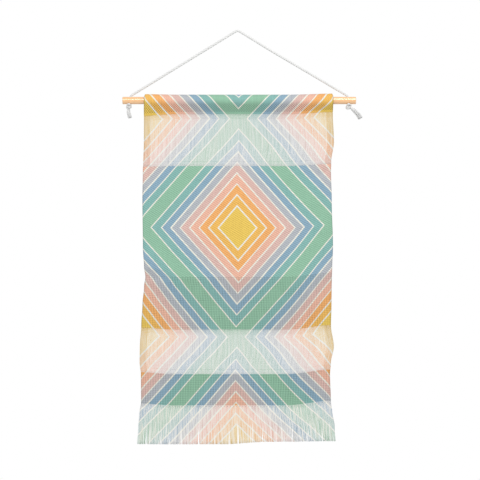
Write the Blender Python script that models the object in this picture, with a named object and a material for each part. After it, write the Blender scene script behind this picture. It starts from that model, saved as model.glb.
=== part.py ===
"""Textile wall hanging: a woven cloth with a rod sleeve and a fringe, on a wooden rod with a twisted cord.

Metres, +Z up. The cloth's front faces -Y and the wall lies on the +Y side.
The origin is the underside of the cord's peak, where a nail or a hook carries the hanging.
Across, the tables below measure from the rod's middle, which hangs a little to the right of the peak.
"""

from collections import namedtuple
from math import acos, atan2, cos, pi, radians, sin, sqrt, tau

import bmesh
import bpy
import numpy as np
from mathutils import Vector
from mathutils.geometry import interpolate_bezier

ROD_MIDDLE_X = 0.0037

# Rod
ROD_LENGTH = 0.406
ROD_RADIUS = 0.00635
ROD_AXIS_Z = -0.1186
ROD_EASE = 0.0007
ROD_EASE_STEPS = 2
ROD_SIDES = 40
HOLE_INSET = 0.0137
HOLE_RADIUS = 0.0030
HOLE_SIDES = 20
CUTTER_DEPTH = 4 * ROD_RADIUS
ROD_SHARP_ANGLE = radians(30)
HOLE_X = ROD_LENGTH / 2 - HOLE_INSET

# Cord: three strands twisted together, shown by a three-lobed section that turns along the cord
CORD_RADIUS = 0.0020
STRANDS = 3
SIDES_PER_STRAND = 3
LOBE_DEPTH = 0.14
LAY_LENGTH = 0.0150
STEPS_PER_LAY = 6
SEAT_GAP = 0.0003
ROUTE_FINENESS = 16

# Route of the main cord, chosen by hand: (x, z) from the underside of the left hole to that of the right one
CORD_ROUTE = (
    (-0.18930, -0.1249),
    (-0.18930, -0.1205),
    (-0.18930, -0.1158),
    (-0.18885, -0.1124),
    (-0.18755, -0.1102),
    (-0.18575, -0.1086),
    (-0.18000, -0.1051),
    (-0.15000, -0.0867),
    (-0.10000, -0.0559),
    (-0.05000, -0.0252),
    (-0.02000, -0.0067),
    (-0.00760, 0.0008),
    (-0.00370, 0.0020),
    (0.00020, 0.0009),
    (0.01500, -0.0079),
    (0.05000, -0.0286),
    (0.10000, -0.0582),
    (0.15000, -0.0877),
    (0.18000, -0.1055),
    (0.18560, -0.1088),
    (0.18755, -0.1105),
    (0.18885, -0.1127),
    (0.18930, -0.1161),
    (0.18930, -0.1205),
    (0.18930, -0.1249),
)

# Knots and tails: a knot bears on the rod's underside at its hole, and a tail leaves each knot's underside
Knot = namedtuple("Knot", "side centre_x half_width half_height half_depth")
KNOTS = (
    Knot("left", -0.1919, 0.0048, 0.0042, 0.0046),
    Knot("right", 0.1903, 0.0050, 0.0044, 0.0048),
)
KNOT_RIDGE = 0.16
KNOT_RIDGES = 3
KNOT_TURN = 1.7
KNOT_SIDES = 18
KNOT_RINGS = 12
Tail = namedtuple("Tail", "side route")
TAILS = (
    Tail("left", ((-0.1925, -0.1341), (-0.1927, -0.1370), (-0.1919, -0.1410), (-0.1899, -0.1489))),
    Tail("right", ((0.1922, -0.1346), (0.1957, -0.1375), (0.2004, -0.1415), (0.2098, -0.1493))),
)
TAIL_FLARE = 1.75
TAIL_FLARE_SHARE = 0.42

# Cloth: heights are z, edges are x, both from the origin
SLEEVE_WALL = 0.0030
SLEEVE_SLACK = 0.0008
SEAM_Z = -0.1421
WEDGE_HEIGHT = 0.0060
WEDGE_HALF = 0.0003
SETTLE_HEIGHT = 0.0200
ARC_CELLS = 14
SIDE_CELLS = 2
CLOTH_THICK = 0.0018
SHEER_THICK = 0.0010
HEM_WIDTH = 0.0120
HEM_EXTRA = 0.0011
HEM_FADE = 0.0012
INNER_COLUMNS = 17
ROW_PITCH = 0.0125
STEP_HALF = 0.0009
CLOTH_SHARP_ANGLE = radians(36)

# Woven bands, from the sleeve's seam down: where each one ends, and how thick its cloth is
Band = namedtuple("Band", "name end_z thick")
BANDS = (
    Band("upper sheer", -0.2326, SHEER_THICK),
    Band("twill", -0.4257, CLOTH_THICK),
    Band("dense above", -0.5170, CLOTH_THICK),
    Band("lower sheer", -0.5945, SHEER_THICK),
    Band("dense below", -0.6490, CLOTH_THICK),
    Band("last rows", -0.6600, SHEER_THICK),
)
CLOTH_END_Z = BANDS[-1].end_z

# Side edges of the cloth and of the fringe, a row for each bend of the outline
Edge = namedtuple("Edge", "place z left right")
EDGES = (
    Edge("crown", -0.1084, -0.1642, 0.1624),
    Edge("sleeve top", -0.1112, -0.1652, 0.1637),
    Edge("sleeve seam", -0.1421, -0.1659, 0.1630),
    Edge("sheer swells", -0.1910, -0.1660, 0.1652),
    Edge("sheer draws in", -0.2250, -0.1670, 0.1601),
    Edge("twill begins", -0.2400, -0.1677, 0.1597),
    Edge("twill", -0.2920, -0.1684, 0.1610),
    Edge("twill swells", -0.3720, -0.1676, 0.1632),
    Edge("above the pinch", -0.4080, -0.1655, 0.1619),
    Edge("pinch", -0.4257, -0.1634, 0.1613),
    Edge("below the pinch", -0.4420, -0.1655, 0.1609),
    Edge("dense cloth", -0.4740, -0.1683, 0.1606),
    Edge("lower sheer begins", -0.5090, -0.1704, 0.1597),
    Edge("lower sheer swells", -0.5465, -0.1729, 0.1650),
    Edge("lower sheer ends", -0.5760, -0.1733, 0.1594),
    Edge("dense cloth below", -0.5945, -0.1710, 0.1580),
    Edge("dense cloth ends", -0.6430, -0.1706, 0.1596),
    Edge("fringe roots", -0.6600, -0.1735, 0.1614),
    Edge("fringe", -0.6850, -0.1752, 0.1647),
    Edge("fringe tips", -0.7150, -0.1768, 0.1684),
)

# How far the woven rows are lifted at both side edges: over the rod, at the seam, and more so lower down
Lift = namedtuple("Lift", "place z left right")
LIFTS = (
    Lift("crown", -0.1084, 0.0009, 0.0019),
    Lift("rod", -0.1186, 0.0, 0.0),
    Lift("under the rod", -0.1255, 0.0, 0.0),
    Lift("sleeve seam", -0.1421, -0.0030, 0.0038),
    Lift("twill begins", -0.2326, -0.0012, 0.0034),
    Lift("twill", -0.3000, 0.0004, 0.0046),
    Lift("pinch", -0.4300, 0.0030, 0.0078),
)
LIFT_LEFT_REACH = 0.060
LIFT_RIGHT_REACH = 0.085
LIFT_RIGHT_POWER = 1.3

# Soft folds of the hanging cloth: centre, half sizes, and how far each one stands out (-) or back (+)
Fold = namedtuple("Fold", "place across z half_width half_height depth")
FOLDS = (
    Fold("left pinch", 0.00, -0.4257, 0.060, 0.0130, 0.0040),
    Fold("above the left pinch", 0.00, -0.3950, 0.050, 0.0260, -0.0022),
    Fold("left swell", 0.00, -0.5560, 0.070, 0.0300, -0.0026),
    Fold("right top swell", 1.00, -0.1900, 0.050, 0.0260, 0.0032),
    Fold("right below the sheer", 1.00, -0.2330, 0.060, 0.0200, -0.0022),
    Fold("right lower swell", 1.00, -0.5460, 0.065, 0.0260, 0.0034),
    Fold("right dense edge", 1.00, -0.5850, 0.050, 0.0160, -0.0026),
    Fold("belly", 0.45, -0.3300, 0.150, 0.1100, -0.0016),
    Fold("lower hollow", 0.60, -0.5200, 0.120, 0.0500, 0.0014),
    Fold("last rows left", 0.12, -0.6500, 0.060, 0.0400, -0.0016),
    Fold("last rows right", 0.88, -0.6450, 0.070, 0.0420, 0.0018),
)

# Fringe: a narrow strip of fused roots, and strands that gather into locks
FRINGE_GAP = 0.0003
STRIP_HEIGHT = 0.0022
STRIP_THICK = 0.0012
STRAND_COUNT = 104
STRAND_SHARE = 0.56
STRAND_STEPS = (0.34, 0.70, 1.00)
STRAND_TIP_SCALE = 0.72
FRINGE_LENGTH = 0.0535
FRINGE_UNEVEN = 0.0030
FRINGE_SEED = 7
LOCK_WIDTH = 0.0240
LOCK_PULL = 0.0010
LOCK_DRIFT = 2.0
LOCK_DRIFT_WIDTH = 0.0700
TIP_SETTLE = 0.90
CUT_RISE = 0.0044
CUT_RISE_FROM = -0.030
CUT_RISE_TO = 0.055
WANDER = 0.0010

# Colours (linear) and finish: colour, roughness
Finish = namedtuple("Finish", "red green blue roughness")
CLOTH_FINISH = Finish(0.80, 0.50, 0.24, 0.90)
FRINGE_FINISH = Finish(0.85, 0.72, 0.45, 0.92)
ROD_FINISH = Finish(0.90, 0.62, 0.36, 0.55)
CORD_FINISH = Finish(0.86, 0.86, 0.84, 0.88)


def clear_scene():
    for item in list(bpy.data.objects):
        bpy.data.objects.remove(item, do_unlink=True)


def make_collection(name):
    group = bpy.data.collections.new(name)
    bpy.context.scene.collection.children.link(group)
    return group


def make_material(name, finish):
    material = bpy.data.materials.new(name)
    material.use_nodes = True
    shader = material.node_tree.nodes["Principled BSDF"]
    shader.inputs["Base Color"].default_value = (finish.red, finish.green, finish.blue, 1.0)
    shader.inputs["Roughness"].default_value = finish.roughness
    shader.inputs["Metallic"].default_value = 0.0
    return material


def add_object(name, data, group, material=None, parent=None):
    item = bpy.data.objects.new(name, data)
    group.objects.link(item)
    item.parent = parent
    if material is not None:
        data.materials.append(material)
    return item


def mesh_from(bm, name):
    bmesh.ops.recalc_face_normals(bm, faces=bm.faces[:])
    mesh = bpy.data.meshes.new(name)
    bm.to_mesh(mesh)
    bm.free()
    return mesh


def draw_out(bm, faces, step, keep=False):
    """Extrudes faces by a step, drops the faces left inside, and gives the new end faces."""
    grown = bmesh.ops.extrude_face_region(bm, geom=faces)["geom"]
    if not keep:
        bmesh.ops.delete(bm, geom=faces, context="FACES")
    bmesh.ops.translate(bm, verts=[part for part in grown if isinstance(part, bmesh.types.BMVert)], vec=step)
    return [part for part in grown if isinstance(part, bmesh.types.BMFace)]


def smoothstep(value):
    value = min(max(value, 0.0), 1.0)
    return value * value * (3 - 2 * value)


# Rod
def hole_cutter(side, cutters, middle):
    bm = bmesh.new()
    bmesh.ops.create_cone(
        bm, cap_ends=True, segments=HOLE_SIDES, radius1=HOLE_RADIUS, radius2=HOLE_RADIUS, depth=CUTTER_DEPTH
    )
    cutter = add_object("hole_cutter", mesh_from(bm, "hole_cutter"), cutters, parent=middle)
    cutter.location = (side * HOLE_X, 0, ROD_AXIS_Z)
    cutter.hide_render = True
    cutter.display_type = "WIRE"
    return cutter


def build_rod(parts, cutters, middle):
    bm = bmesh.new()
    bmesh.ops.create_cone(
        bm, cap_ends=True, segments=ROD_SIDES, radius1=ROD_RADIUS, radius2=ROD_RADIUS, depth=ROD_LENGTH
    )
    caps = [face for face in bm.faces if len(face.verts) == ROD_SIDES]
    rims = list({edge for face in caps for edge in face.edges})
    bmesh.ops.bevel(bm, geom=rims, offset=ROD_EASE, segments=ROD_EASE_STEPS, profile=0.5, affect="EDGES", material=-1)
    rod = add_object("rod", mesh_from(bm, "rod"), parts, make_material("rod_wood", ROD_FINISH), middle)
    rod.location = (0, 0, ROD_AXIS_Z)
    rod.rotation_euler = (0, pi / 2, 0)
    for side in (-1, 1):
        cut = rod.modifiers.new("hole", "BOOLEAN")
        cut.operation = "DIFFERENCE"
        cut.object = hole_cutter(side, cutters, middle)
    rod.data.shade_smooth()
    rod.data.set_sharp_from_angle(angle=ROD_SHARP_ANGLE)


# Cord
def smooth_route(route):
    """Close points of a smooth curve through the route's own points, and how far along it each one lies."""
    marks = [Vector((x, 0, z)) for x, z in route]
    headings = [(b - a).normalized() for a, b in zip(marks[:1] + marks[:-1], marks[1:] + marks[-1:])]
    fine = [marks[0]]
    for start, end, leaving, arriving in zip(marks, marks[1:], headings, headings[1:]):
        reach = (end - start).length / 3
        pulls = start + leaving * reach, end - arriving * reach
        fine += interpolate_bezier(start, *pulls, end, ROUTE_FINENESS)[1:]
    along = np.concatenate([[0], np.cumsum([(b - a).length for a, b in zip(fine, fine[1:])])])
    return np.array(fine), along


def strand_section(cutters):
    """A closed flat curve: the outline of the strands laid together."""
    curve = bpy.data.curves.new("strand_section", "CURVE")
    spline = curve.splines.new("POLY")
    count = STRANDS * SIDES_PER_STRAND
    spline.points.add(count - 1)
    for i, point in enumerate(spline.points):
        angle = -tau * i / count
        radius = CORD_RADIUS * (1 - LOBE_DEPTH * (1 - cos(STRANDS * angle)) / 2)
        point.co = (radius * cos(angle), radius * sin(angle), 0, 1)
    spline.use_cyclic_u = True
    section = add_object("strand_section", curve, cutters)
    section.hide_render = True
    section.display_type = "WIRE"
    return section


def build_cord(name, route, section, parts, material, middle, flare=None):
    """A twisted cord: the strands' section swept along the route, turned once in each lay."""
    fine, along = smooth_route(route)
    steps = round(along[-1] / LAY_LENGTH * STEPS_PER_LAY)
    curve = bpy.data.curves.new(name, "CURVE")
    curve.dimensions = "3D"
    curve.bevel_mode = "OBJECT"
    curve.bevel_object = section
    curve.use_fill_caps = True
    spline = curve.splines.new("POLY")
    spline.points.add(steps)
    for i, point in enumerate(spline.points):
        at = along[-1] * i / steps
        point.co = (*(np.interp(at, along, fine[:, axis]) for axis in range(3)), 1)
        point.tilt = tau * i / STEPS_PER_LAY
        point.radius = flare(i / steps) if flare else 1.0
    add_object(name, curve, parts, material, middle)


def tail_flare(share):
    """The cut end opens out over its last stretch."""
    return 1 + (TAIL_FLARE - 1) * smoothstep((share - 1 + TAIL_FLARE_SHARE) / TAIL_FLARE_SHARE)


def build_knot(knot, parts, material, middle):
    """A stopper knot: a squat ball with the cord's turns raised as slanting ridges."""
    bm = bmesh.new()
    bmesh.ops.create_uvsphere(bm, u_segments=KNOT_SIDES, v_segments=KNOT_RINGS, radius=1.0)
    for vert in bm.verts:
        x, y, z = vert.co
        turn = KNOT_RIDGES * atan2(y, x) + KNOT_TURN * pi * z
        ridge = 1 - KNOT_RIDGE * (1 - sqrt(max(0.0, 1 - z * z)) * cos(turn)) / 2
        vert.co = (x * ridge * knot.half_width, y * ridge * knot.half_depth, z * knot.half_height)
    item = add_object(f"knot_{knot.side}", mesh_from(bm, f"knot_{knot.side}"), parts, material, middle)
    item.location = (knot.centre_x, 0, ROD_AXIS_Z - ROD_RADIUS - SEAT_GAP - knot.half_height)
    item.data.shade_smooth()


# Cloth
def read_table(table, z, side):
    """A table's left or right value at a height, eased between its rows."""
    value = getattr(table[0], side)
    for upper, lower in zip(table, table[1:]):
        share = smoothstep((upper.z - z) / (upper.z - lower.z))
        value += (getattr(lower, side) - getattr(upper, side)) * share
    return value


def edge_at(z, side):
    """The x of a row's left or right end, read at the height the row is lifted to there."""
    return read_table(EDGES, z + read_table(LIFTS, z, side), side)


def climb(x, z):
    """How far the woven rows are lifted near the side edges."""
    at_left = 1 - smoothstep((x - edge_at(z, "left")) / LIFT_LEFT_REACH)
    at_right = (1 - smoothstep((edge_at(z, "right") - x) / LIFT_RIGHT_REACH)) ** LIFT_RIGHT_POWER
    return read_table(LIFTS, z, "left") * at_left + read_table(LIFTS, z, "right") * at_right


def fold_depth(across, z, width):
    """How far the sheet stands out of its plane."""
    depth = 0.0
    for fold in FOLDS:
        u = (across - fold.across) * width / fold.half_width
        v = (z - fold.z) / fold.half_height
        depth += fold.depth * (1 - smoothstep(abs(u))) * (1 - smoothstep(abs(v)))
    return depth


def thickness(x, z):
    """The cloth's thickness in its bands, and what the turned hem adds behind it."""
    thick = CLOTH_THICK
    top = SEAM_Z
    for band in BANDS:
        share = smoothstep((top - z + STEP_HALF) / (2 * STEP_HALF))
        thick += (band.thick - thick) * share
        top = band.end_z
    inward = min(x - edge_at(z, "left"), edge_at(z, "right") - x)
    hem = 1 - smoothstep((inward - HEM_WIDTH) / HEM_FADE)
    return thick, HEM_EXTRA * hem


def hang(across, y, z):
    """Moves a point of the flat, straight loaf to its place in the hanging cloth."""
    left, right = edge_at(z, "left"), edge_at(z, "right")
    x = left + across * (right - left)
    if z < SEAM_Z:
        # Sheer bands are sunk on both faces, and the hems thicken only the back.
        thick, hem = thickness(x, z)
        y = -thick / 2 if y < 0 else thick / 2 + hem
        settle = smoothstep((SEAM_Z - z) / SETTLE_HEIGHT)
        y += settle * fold_depth(across, z, right - left)
    return Vector((x, y, z + climb(x, z)))


def sleeve_ring():
    """Outer and inner points of the sleeve's wall, from the seam's back up over the rod to its front."""
    middle = ROD_RADIUS + SLEEVE_SLACK + SLEEVE_WALL / 2
    drop = ROD_AXIS_Z - SEAM_Z
    tangent = acos(middle / drop)
    angles = np.linspace(tangent, tau - tangent, ARC_CELLS + 1)
    ring = []
    for angle in angles:
        outward = Vector((0, sin(angle), -cos(angle)))
        centre = Vector((0, 0, ROD_AXIS_Z))
        outer = centre + outward * (middle + SLEEVE_WALL / 2)
        inner = centre + outward * (middle - SLEEVE_WALL / 2)
        ring.append((outer, inner))
    tip = Vector((0, 0, SEAM_Z + WEDGE_HEIGHT))
    legs = []
    for side, (outer, inner) in ((1, ring[0]), (-1, ring[-1])):
        seam = Vector((0, side * CLOTH_THICK / 2, SEAM_Z))
        inner_tip = tip + Vector((0, side * WEDGE_HALF, 0))
        leg = []
        for i in range(SIDE_CELLS):
            share = i / SIDE_CELLS
            leg.append((seam.lerp(outer, share), inner_tip.lerp(inner, share)))
        legs.append(leg)
    return legs[0] + ring + legs[1][::-1]


def row_heights():
    """Heights of the panel's rows: even rows in each band, with a close pair at each change of weave."""
    heights = []
    top = SEAM_Z
    for band in BANDS:
        first = top - STEP_HALF
        last = band.end_z + (STEP_HALF if band is not BANDS[-1] else 0)
        count = max(1, round((first - last) / ROW_PITCH))
        heights.extend(np.linspace(first, last, count + 1))
        top = band.end_z
    return heights


def columns():
    """Shares of the width at which the loaf is cut: the edges, both hems' inner lines and the field."""
    width = edge_at(SEAM_Z, "right") - edge_at(SEAM_Z, "left")
    hem = HEM_WIDTH / width
    fade = HEM_FADE / width
    field = np.linspace(hem + fade, 1 - hem - fade, INNER_COLUMNS)
    return [0.0, hem, *field, 1 - hem, 1.0]


def cloth_section(bm):
    """The cloth's section at its left edge: the sleeve's ring and the panel below it, as joined quads."""
    ring = [(bm.verts.new(outer), bm.verts.new(inner)) for outer, inner in sleeve_ring()]
    for (outer_a, inner_a), (outer_b, inner_b) in zip(ring, ring[1:] + ring[:1]):
        bm.faces.new((outer_a, inner_a, inner_b, outer_b))
    back, front = ring[0][0], ring[-1][0]
    for z in row_heights():
        next_back = bm.verts.new((0, CLOTH_THICK / 2, z))
        next_front = bm.verts.new((0, -CLOTH_THICK / 2, z))
        bm.faces.new((back, front, next_front, next_back))
        back, front = next_back, next_front


def build_cloth(parts, middle):
    bm = bmesh.new()
    cloth_section(bm)
    shares = columns()
    section = bm.faces[:]
    for start, end in zip(shares, shares[1:]):
        section = draw_out(bm, section, (end - start, 0, 0), keep=start == shares[0])
    for vert in bm.verts:
        vert.co = hang(*vert.co)
    material = make_material("woven_cloth", CLOTH_FINISH)
    cloth = add_object("cloth", mesh_from(bm, "cloth"), parts, material, middle)
    cloth.data.shade_smooth()
    cloth.data.set_sharp_from_angle(angle=CLOTH_SHARP_ANGLE)


# Fringe
def build_fringe(parts, middle):
    """A strip cut into strand and gap cells, whose strand cells are drawn down from its lower edge."""
    rng = np.random.default_rng(FRINGE_SEED)
    top = CLOTH_END_Z - FRINGE_GAP
    low = top - STRIP_HEIGHT
    pitch = 1.0 / (STRAND_COUNT - 1 + STRAND_SHARE)
    cuts = []
    for i in range(STRAND_COUNT):
        cuts += [i * pitch, (i + STRAND_SHARE) * pitch]
    bm = bmesh.new()
    corners = [bm.verts.new((0, y, z)) for y, z in ((-0.5, top), (0.5, top), (0.5, low), (-0.5, low))]
    section = [bm.faces.new(corners)]
    for start, end in zip(cuts, cuts[1:]):
        section = draw_out(bm, section, (end - start, 0, 0), keep=start == cuts[0])
    bmesh.ops.recalc_face_normals(bm, faces=bm.faces[:])
    floor = sorted((f for f in bm.faces if f.normal.z < -0.5), key=lambda f: f.calc_center_median().x)
    for face in floor[::2]:
        uneven, lean = rng.uniform(-1, 1, 2)
        length = FRINGE_LENGTH + FRINGE_UNEVEN * uneven
        for upper, lower in zip((0.0, *STRAND_STEPS), STRAND_STEPS):
            share = lower - upper
            (face,) = draw_out(bm, [face], (0, lean * share * WANDER / STRIP_THICK, -share * length))
            core = face.calc_center_median().x
            for vert in face.verts:
                vert.co.x = core + (vert.co.x - core) * (1 - (1 - STRAND_TIP_SCALE) * share)
    for vert in bm.verts:
        across, y, z = vert.co
        fall = max(0.0, (low - z) / FRINGE_LENGTH)
        left, right = edge_at(z, "left"), edge_at(z, "right")
        x = left + across * (right - left)
        pull = LOCK_PULL * fall * sin(tau * x / LOCK_WIDTH + LOCK_DRIFT * sin(tau * x / LOCK_DRIFT_WIDTH))
        root = fold_depth(across, CLOTH_END_Z, right - left)
        cut = CUT_RISE * smoothstep((x - CUT_RISE_FROM) / (CUT_RISE_TO - CUT_RISE_FROM))
        lift = climb(x, CLOTH_END_Z) * (1 - TIP_SETTLE * fall) + cut * fall
        vert.co = (x - pull, root + y * STRIP_THICK, z + lift)
    add_object("fringe", mesh_from(bm, "fringe"), parts, make_material("fringe_yarn", FRINGE_FINISH), middle)


def main():
    clear_scene()
    parts = make_collection("textile_wall_hanging")
    cutters = make_collection("cutters")
    middle = add_object("rod_middle", None, parts)
    middle.location = (ROD_MIDDLE_X, 0, 0)
    build_rod(parts, cutters, middle)
    section = strand_section(cutters)
    cotton = make_material("cotton_cord", CORD_FINISH)
    build_cord("cord", CORD_ROUTE, section, parts, cotton, middle)
    for knot in KNOTS:
        build_knot(knot, parts, cotton, middle)
    for tail in TAILS:
        build_cord(f"tail_{tail.side}", tail.route, section, parts, cotton, middle, tail_flare)
    build_cloth(parts, middle)
    build_fringe(parts, middle)


main()
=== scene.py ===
"""Textile wall hanging: the finished look of the cloth, its fringe, the wooden rod and the twisted cord.

Metres, +Z up. The cloth's front faces -Y. Across, the tables measure from the rod's middle.
"""

from collections import namedtuple
from math import cos, pi, radians, sin, tau

import bmesh
import bpy
import numpy as np
from mathutils import Euler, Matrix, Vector, noise
from mathutils.geometry import interpolate_bezier


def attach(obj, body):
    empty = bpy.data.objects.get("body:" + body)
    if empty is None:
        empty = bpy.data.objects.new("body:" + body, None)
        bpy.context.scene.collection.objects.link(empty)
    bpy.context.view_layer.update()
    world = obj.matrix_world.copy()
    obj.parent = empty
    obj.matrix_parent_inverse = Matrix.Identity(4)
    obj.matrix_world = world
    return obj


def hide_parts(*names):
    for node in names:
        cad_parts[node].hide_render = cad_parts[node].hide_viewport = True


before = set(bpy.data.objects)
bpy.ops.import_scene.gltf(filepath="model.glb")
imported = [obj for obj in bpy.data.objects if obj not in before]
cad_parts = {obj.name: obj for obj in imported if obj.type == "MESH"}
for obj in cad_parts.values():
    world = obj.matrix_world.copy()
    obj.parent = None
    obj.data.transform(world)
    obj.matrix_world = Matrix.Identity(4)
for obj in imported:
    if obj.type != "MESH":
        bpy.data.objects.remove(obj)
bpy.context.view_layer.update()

ROD_MIDDLE_X = 0.0037

# Rod
ROD_LENGTH = 0.406
ROD_RADIUS = 0.00635
ROD_AXIS_Z = -0.1186
ROD_SIDES = 96
ROD_EASE = 0.0009
ROD_SHARP = 35
HOLE_X = 0.1893
HOLE_RADIUS = 0.0030
HOLE_SIDES = 32
DRILL_DEPTH = 4 * ROD_RADIUS

# Route of the main cord, from the underside of the left hole to that of the right one
CORD_ROUTE = (
    (-0.18930, -0.1249),
    (-0.18930, -0.1205),
    (-0.18930, -0.1158),
    (-0.18885, -0.1124),
    (-0.18755, -0.1102),
    (-0.18575, -0.1086),
    (-0.18000, -0.1051),
    (-0.15000, -0.0867),
    (-0.10000, -0.0559),
    (-0.05000, -0.0252),
    (-0.02000, -0.0067),
    (-0.00680, 0.0013),
    (-0.00250, 0.0027),
    (0.00200, 0.0010),
    (0.01500, -0.0070),
    (0.05000, -0.0286),
    (0.10000, -0.0582),
    (0.15000, -0.0877),
    (0.18000, -0.1055),
    (0.18560, -0.1088),
    (0.18755, -0.1105),
    (0.18885, -0.1127),
    (0.18930, -0.1161),
    (0.18930, -0.1205),
    (0.18930, -0.1249),
)
LEFT_TAIL = ((-0.1925, -0.1341), (-0.1927, -0.1370), (-0.1919, -0.1410), (-0.1899, -0.1489))
RIGHT_TAIL = ((0.1930, -0.1306), (0.1972, -0.1331), (0.2024, -0.1385), (0.2074, -0.1436), (0.2108, -0.1499))
ROUTE_FINENESS = 16
PATH_STEP = 4

# Twist of the cord
STRANDS = 3
STRAND_RADIUS = 0.00127
STRAND_OFFSET = 0.00098
LAY_LENGTH = 0.0150
STEPS_PER_LAY = 16
FEWEST_RINGS = 12
STRAND_SIDES = 10

# Stopper knots under the rod and the frayed ends below them
Knot = namedtuple("Knot", "side centre_x half_width half_height half_depth turns start_turn rise forward")
KNOTS = (
    Knot("left", -0.1919, 0.0048, 0.0042, 0.0046, 2.3, 0.40, 0.0030, 0.0030),
    Knot("right", 0.1903, 0.0050, 0.0044, 0.0048, 2.4, 0.45, 0.0029, 0.0029),
)
KNOT_ROPE_RADIUS = 0.0019
KNOT_ROPE_SIZE = 0.95
KNOT_POINTS = 90
KNOT_TUCK = 0.12
KNOT_NECK = 0.35
KNOT_TILT = 0.0006
KNOT_TILT_TURN = 0.8
RISE_FADES_FROM = 0.20
RISE_FADES_OVER = 0.25
SEAT_GAP = 0.0003
FRAY_SEED = 3
FRAY_YARNS = 100
FRAY_SIDES = 5
FRAY_RINGS = 10
FRAY_RADIUS = 0.00038
FRAY_TAPER = 0.25
FRAY_INNERMOST = 0.02
FRAY_LENGTHS = (0.92, 1.03)
FRAY_CURL = 1.2
FRAY_AIM = 4
Fray = namedtuple("Fray", "side tail length start spread")
FRAYS = (
    Fray("left", LEFT_TAIL, 0.0160, 0.0029, 0.0034),
    Fray("right", RIGHT_TAIL, 0.0220, 0.0030, 0.0042),
)

# Cloth
SEAM_Z = -0.1421
SLEEVE_RADIUS = 0.0102
CLOTH_THICK = 0.0009
FRONT_Y = -0.0009
SETTLE_HEIGHT = 0.0200
CLOTH_SHARP = 50
HEM_WIDTH = 0.0120
HEM_DEPTH = 0.0019
SLEEVE_HEM_DEPTH = 0.0031
HEM_BULGE = 0.0018
BULGE_REACH = 0.004
PRINT_WIDTH = 0.3300
ROW_PITCH = 0.0030
COLUMN_PITCH = 0.0031
FOLD_WIDTH = 0.0030
FOLD_COLUMNS = 7
HEM_COLUMNS = 4
ARC_ROWS = 22
LEG_ROWS = 6
LEG_LENGTH = 0.0213
SINGLE_STRIP = 0.0038

Band = namedtuple("Band", "name end_z loose")
BANDS = (
    Band("upper sheer", -0.2326, True),
    Band("twill", -0.4257, False),
    Band("dense above", -0.5170, False),
    Band("lower sheer", -0.5945, True),
    Band("dense below", -0.6490, False),
)
LAST_ROWS_Z = -0.6490
CLOTH_END_Z = -0.6600

Edge = namedtuple("Edge", "place z left right")
EDGES = (
    Edge("crown", -0.1084, -0.1642, 0.1624),
    Edge("sleeve top", -0.1112, -0.1652, 0.1637),
    Edge("sleeve seam", -0.1421, -0.1659, 0.1630),
    Edge("sheer swells", -0.1910, -0.1660, 0.1652),
    Edge("sheer draws in", -0.2250, -0.1670, 0.1601),
    Edge("twill begins", -0.2400, -0.1677, 0.1597),
    Edge("twill", -0.2920, -0.1684, 0.1610),
    Edge("twill swells", -0.3720, -0.1676, 0.1632),
    Edge("above the pinch", -0.4080, -0.1655, 0.1619),
    Edge("pinch", -0.4257, -0.1634, 0.1613),
    Edge("below the pinch", -0.4420, -0.1655, 0.1609),
    Edge("dense cloth", -0.4740, -0.1683, 0.1606),
    Edge("lower sheer begins", -0.5090, -0.1704, 0.1597),
    Edge("lower sheer swells", -0.5465, -0.1729, 0.1650),
    Edge("lower sheer ends", -0.5760, -0.1733, 0.1594),
    Edge("dense cloth below", -0.5945, -0.1710, 0.1580),
    Edge("dense cloth ends", -0.6430, -0.1706, 0.1596),
    Edge("fringe roots", -0.6600, -0.1735, 0.1621),
    Edge("fringe", -0.6850, -0.1755, 0.1667),
    Edge("fringe tips", -0.7150, -0.1774, 0.1697),
)

# How far the woven rows are lifted at both side edges
Lift = namedtuple("Lift", "place z left right")
LIFTS = (
    Lift("crown", -0.1084, 0.0009, 0.0019),
    Lift("rod", -0.1186, 0.0, 0.0),
    Lift("under the rod", -0.1255, 0.0, 0.0),
    Lift("sleeve seam", -0.1421, -0.0030, 0.0038),
    Lift("twill begins", -0.2326, -0.0012, 0.0034),
    Lift("twill", -0.3000, 0.0004, 0.0046),
    Lift("pinch", -0.4300, 0.0030, 0.0078),
)
LIFT_LEFT_REACH = 0.060
LIFT_RIGHT_REACH = 0.085
LIFT_RIGHT_POWER = 1.3

Fold = namedtuple("Fold", "place across z half_width half_height depth")
FOLDS = (
    Fold("left pinch", 0.00, -0.4257, 0.060, 0.0130, 0.0040),
    Fold("above the left pinch", 0.00, -0.3950, 0.050, 0.0260, -0.0022),
    Fold("left swell", 0.00, -0.5560, 0.070, 0.0300, -0.0026),
    Fold("right top swell", 1.00, -0.1900, 0.050, 0.0260, 0.0032),
    Fold("right below the sheer", 1.00, -0.2330, 0.060, 0.0200, -0.0022),
    Fold("right lower swell", 1.00, -0.5460, 0.065, 0.0260, 0.0034),
    Fold("right dense edge", 1.00, -0.5850, 0.050, 0.0160, -0.0026),
    Fold("belly", 0.45, -0.3300, 0.150, 0.1100, -0.0016),
    Fold("lower hollow", 0.60, -0.5200, 0.120, 0.0500, 0.0014),
    Fold("last rows left", 0.12, -0.6500, 0.060, 0.0400, -0.0016),
    Fold("last rows right", 0.88, -0.6450, 0.070, 0.0420, 0.0018),
)

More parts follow.
